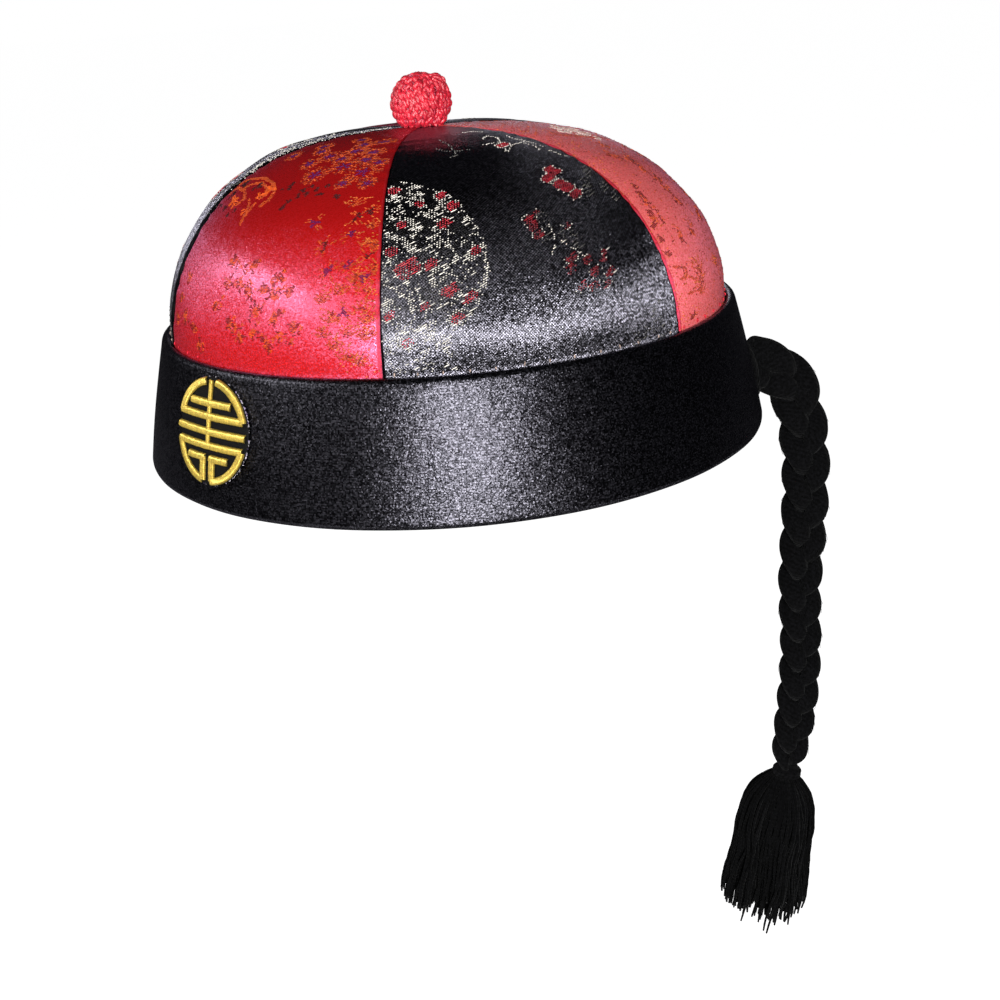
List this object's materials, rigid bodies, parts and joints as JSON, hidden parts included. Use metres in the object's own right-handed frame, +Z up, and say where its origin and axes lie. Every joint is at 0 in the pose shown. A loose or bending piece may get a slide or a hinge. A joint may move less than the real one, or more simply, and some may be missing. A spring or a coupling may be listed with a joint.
{
  "type": "mandarin hat",
  "caption": "Round cloth cap of red and black brocade gores in a stiff flared black band, with a knitted top button, a gold front badge and a hanging plait with tassel.",
  "frame": {"origin": "centre of the head opening, in the plane of the rim", "axes": "+Z up through the crown, -Y towards the front badge, +X towards the wearer's left"},
  "size_m": [0.1958, 0.1968, 0.3274],
  "materials": {
    "red_brocade": "satin brocade with woven flowers",
    "black_brocade": "satin brocade with woven flowers",
    "black_satin": "satin over a stiff core",
    "badge_cloth": "matt twill",
    "gold_thread": "glossy satin stitch",
    "red_knit": "matt knit",
    "black_yarn": "matt fuzzy yarn"
  },
  "bodies": {
    "root": {"band": "black_satin", "crown_gore_1_red": "red_brocade", "crown_gore_2_black": "black_brocade", "crown_gore_3_red": "red_brocade", "crown_gore_4_black": "black_brocade", "crown_gore_5_red": "red_brocade", "crown_gore_6_black": "black_brocade", "crown_button": "red_knit", "badge_ground": "badge_cloth", "badge_ornament": "gold_thread", "queue_root": "black_yarn", "queue_strand_1": "black_yarn", "queue_strand_2": "black_yarn", "queue_strand_3": "black_yarn", "queue_binding": "black_yarn", "tassel": "black_yarn"}
  },
  "joints": []
}
